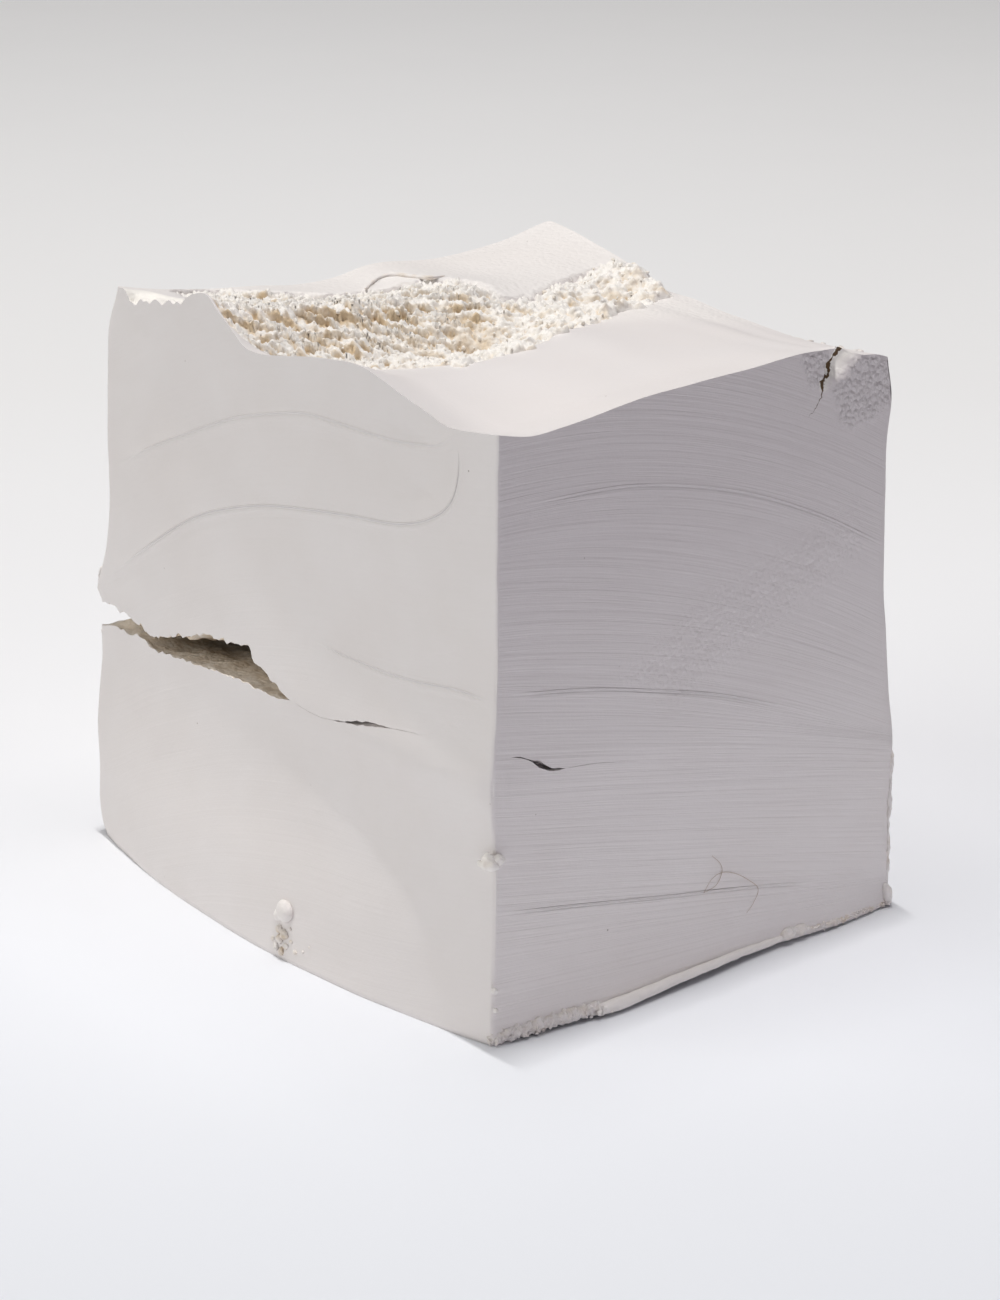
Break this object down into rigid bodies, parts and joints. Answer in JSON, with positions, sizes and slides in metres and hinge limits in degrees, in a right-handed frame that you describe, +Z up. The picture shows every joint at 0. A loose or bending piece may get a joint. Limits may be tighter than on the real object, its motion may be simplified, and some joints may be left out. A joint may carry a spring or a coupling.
{
  "type": "gymnastics chalk block",
  "caption": "Small rough-cut white cube with a scooped, torn top, an open cleft and seam across its sides, a cracked corner and clinging crumbs and burrs.",
  "frame": {"origin": "middle of the bounding box, on the surface that the block stands on", "axes": "+Z up; -Y towards the face with the open cleft; +X towards the face with the lifted lower edge and the cracked corner"},
  "size_m": [0.0632, 0.055, 0.0568],
  "materials": {
    "cake": "matte, faintly satin where the wire smeared it",
    "smeared_bits": "matte, crumbly",
    "hair": "satin"
  },
  "bodies": {
    "root": {"lower_block": "cake", "upper_block": "cake", "corner_chunk": "cake", "front_lip": "smeared_bits", "rolled_bead": "smeared_bits", "folded_pellet": "smeared_bits", "crumpled_burr": "smeared_bits", "corner_crumb": "smeared_bits", "rear_edge_burr": "smeared_bits", "edge_crumb": "smeared_bits", "edge_specks": "smeared_bits", "button_pellet": "smeared_bits", "gouge_crumbs": "smeared_bits", "left_edge_burr": "smeared_bits", "top_crumbs": "smeared_bits", "clay_thread": "smeared_bits", "rim_burr": "smeared_bits", "stray_hair": "hair"}
  },
  "joints": []
}
